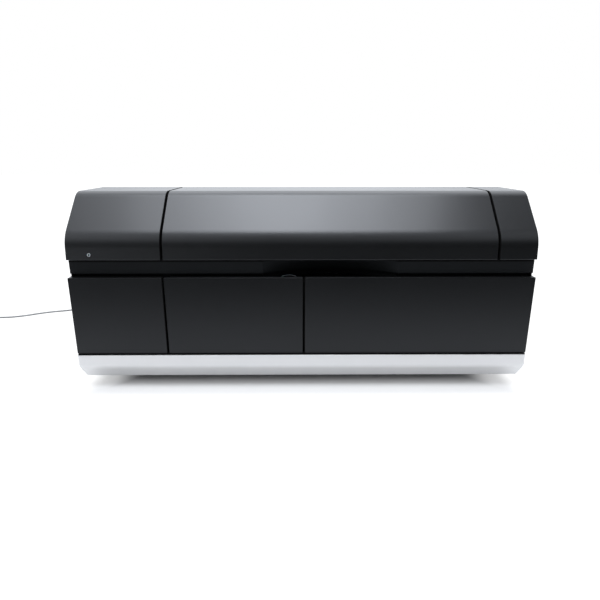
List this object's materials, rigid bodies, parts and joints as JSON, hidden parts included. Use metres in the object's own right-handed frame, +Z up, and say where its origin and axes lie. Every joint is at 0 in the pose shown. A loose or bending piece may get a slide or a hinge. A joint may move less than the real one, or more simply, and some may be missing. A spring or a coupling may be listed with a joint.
{
  "type": "fluorescent image analyzer",
  "caption": "Wide bench-top laser scanner with a sloping hood, rear-hinged lid over a glass stage, filter door and silver base",
  "frame": {"origin": "middle of the footprint, on the table", "axes": "+X to the right seen from the front, +Y to the back, +Z up"},
  "size_m": [1.6283, 0.9269, 0.4215],
  "materials": {
    "hood": "fine-textured dark grey moulding",
    "panel": "satin black moulding",
    "neck": "matt black moulding",
    "silver": "satin silver paint",
    "rubber": "matt black rubber",
    "steel": "bare sheet steel",
    "cast_aluminium": "fine-cast, machined faces",
    "black_metal": "black powder coat",
    "glass": "clear flat glass",
    "light_ring": "translucent grey ring",
    "board": "green circuit board",
    "belt": "black toothed belt and strap",
    "laser": "blue anodised, finned",
    "cable": "light grey cable sheath and boots"
  },
  "bodies": {
    "housing": {"base_tray": "silver", "foot_front_left": "rubber", "foot_front_right": "rubber", "foot_rear_left": "rubber", "foot_rear_right": "rubber", "chassis_plate": "black_metal", "left_front_panel": "panel", "right_front_panel": "panel", "door_hinge_pin": "steel", "door_catch": "steel", "front_frame": "black_metal", "power_ring": "steel", "neck_fascia": "neck", "top_deck": "neck", "stage_frame": "cast_aluminium", "glass_stage": "glass", "left_side_panel": "panel", "right_side_panel": "panel", "rear_panel": "panel", "left_bulkhead": "steel", "right_bulkhead": "steel", "rail_left": "steel", "rail_right": "steel", "screw_motor": "black_metal", "laser_module_1": "laser", "laser_module_2": "laser", "detector_1": "black_metal", "filter_rail": "steel", "power_supply": "steel", "control_board": "board", "fan_frame": "black_metal", "connector_plate": "rubber", "left_hood_cover": "hood", "right_hood_cover": "hood", "rear_hood_cover": "hood", "status_light": "light_ring", "lid_hinge_left": "black_metal", "lid_hinge_right": "black_metal", "lid_hinge_shaft": "steel", "data_plug": "cable", "cable_run": "cable", "cable_coil": "cable", "far_plug": "cable", "cable_tie": "belt"},
    "lid": {"lid_shell": "hood", "lid_liner": "neck", "lid_seal": "rubber"},
    "door": {"filter_door": "panel"},
    "button": {"power_button": "panel"},
    "carriage": {"scan_carriage": "cast_aluminium", "head_motor": "black_metal", "head_belt": "belt"},
    "head": {"scan_head": "black_metal", "objective_lens": "glass"},
    "drive_pulley": {"belt_pulley_drive": "steel"},
    "idle_pulley": {"belt_pulley_idle": "steel"},
    "screw": {"lead_screw": "steel"},
    "magazine": {"filter_magazine": "cast_aluminium"},
    "fan": {"fan_rotor": "black_metal"},
    "rocker": {"mains_switch": "panel"}
  },
  "joints": [
    {"name": "lid_hinge", "type": "hinge", "parent": "housing", "child": "lid", "pos_m": [0.059, 0.1955, 0.37124], "axis": [-1, 0, 0], "range_deg": [0, 60]},
    {"name": "door_hinge", "type": "hinge", "parent": "housing", "child": "door", "pos_m": [-0.28125, -0.385, 0.164], "axis": [0, 0, -1], "range_deg": [0, 90]},
    {"name": "button_press", "type": "slide", "parent": "housing", "child": "button", "axis": [0, 0, -1], "range_m": [0, 0.0015], "stiffness_N_per_m": 600, "springref_m": -0.0005},
    {"name": "carriage_travel", "type": "slide", "parent": "housing", "child": "carriage", "axis": [0, 1, 0], "range_m": [0, 0.38]},
    {"name": "head_travel", "type": "slide", "parent": "carriage", "child": "head", "axis": [1, 0, 0], "range_m": [0, 0.418]},
    {"name": "drive_pulley_turn", "type": "hinge", "parent": "carriage", "child": "drive_pulley", "pos_m": [-0.2, -0.2355, 0.244], "axis": [0, 0, 1], "range_deg": [-5, 2175]},
    {"name": "idle_pulley_turn", "type": "hinge", "parent": "carriage", "child": "idle_pulley", "pos_m": [0.35, -0.2355, 0.244], "axis": [0, 0, 1], "range_deg": [-5, 2175]},
    {"name": "screw_turn", "type": "hinge", "parent": "housing", "child": "screw", "pos_m": [-0.245, -0.0435, 0.184], "axis": [0, 1, 0], "range_deg": [-5, 4460]},
    {"name": "magazine_slide", "type": "slide", "parent": "housing", "child": "magazine", "axis": [1, 0, 0], "range_m": [0, 0.0947]},
    {"name": "fan_spin", "type": "hinge", "parent": "housing", "child": "fan", "pos_m": [-0.398, 0.379, 0.214], "axis": [0, 1, 0], "continuous": true},
    {"name": "switch_rock", "type": "hinge", "parent": "housing", "child": "rocker", "pos_m": [-0.4, 0.3956, 0.122], "axis": [-1, 0, 0], "range_deg": [0, 14]}
  ],
  "couplings": [
    {"joint": "drive_pulley_turn", "follows": "head_travel", "rad_per_m": 90.498},
    {"joint": "idle_pulley_turn", "follows": "head_travel", "rad_per_m": 90.498},
    {"joint": "screw_turn", "follows": "carriage_travel", "rad_per_m": 204.16}
  ]
}
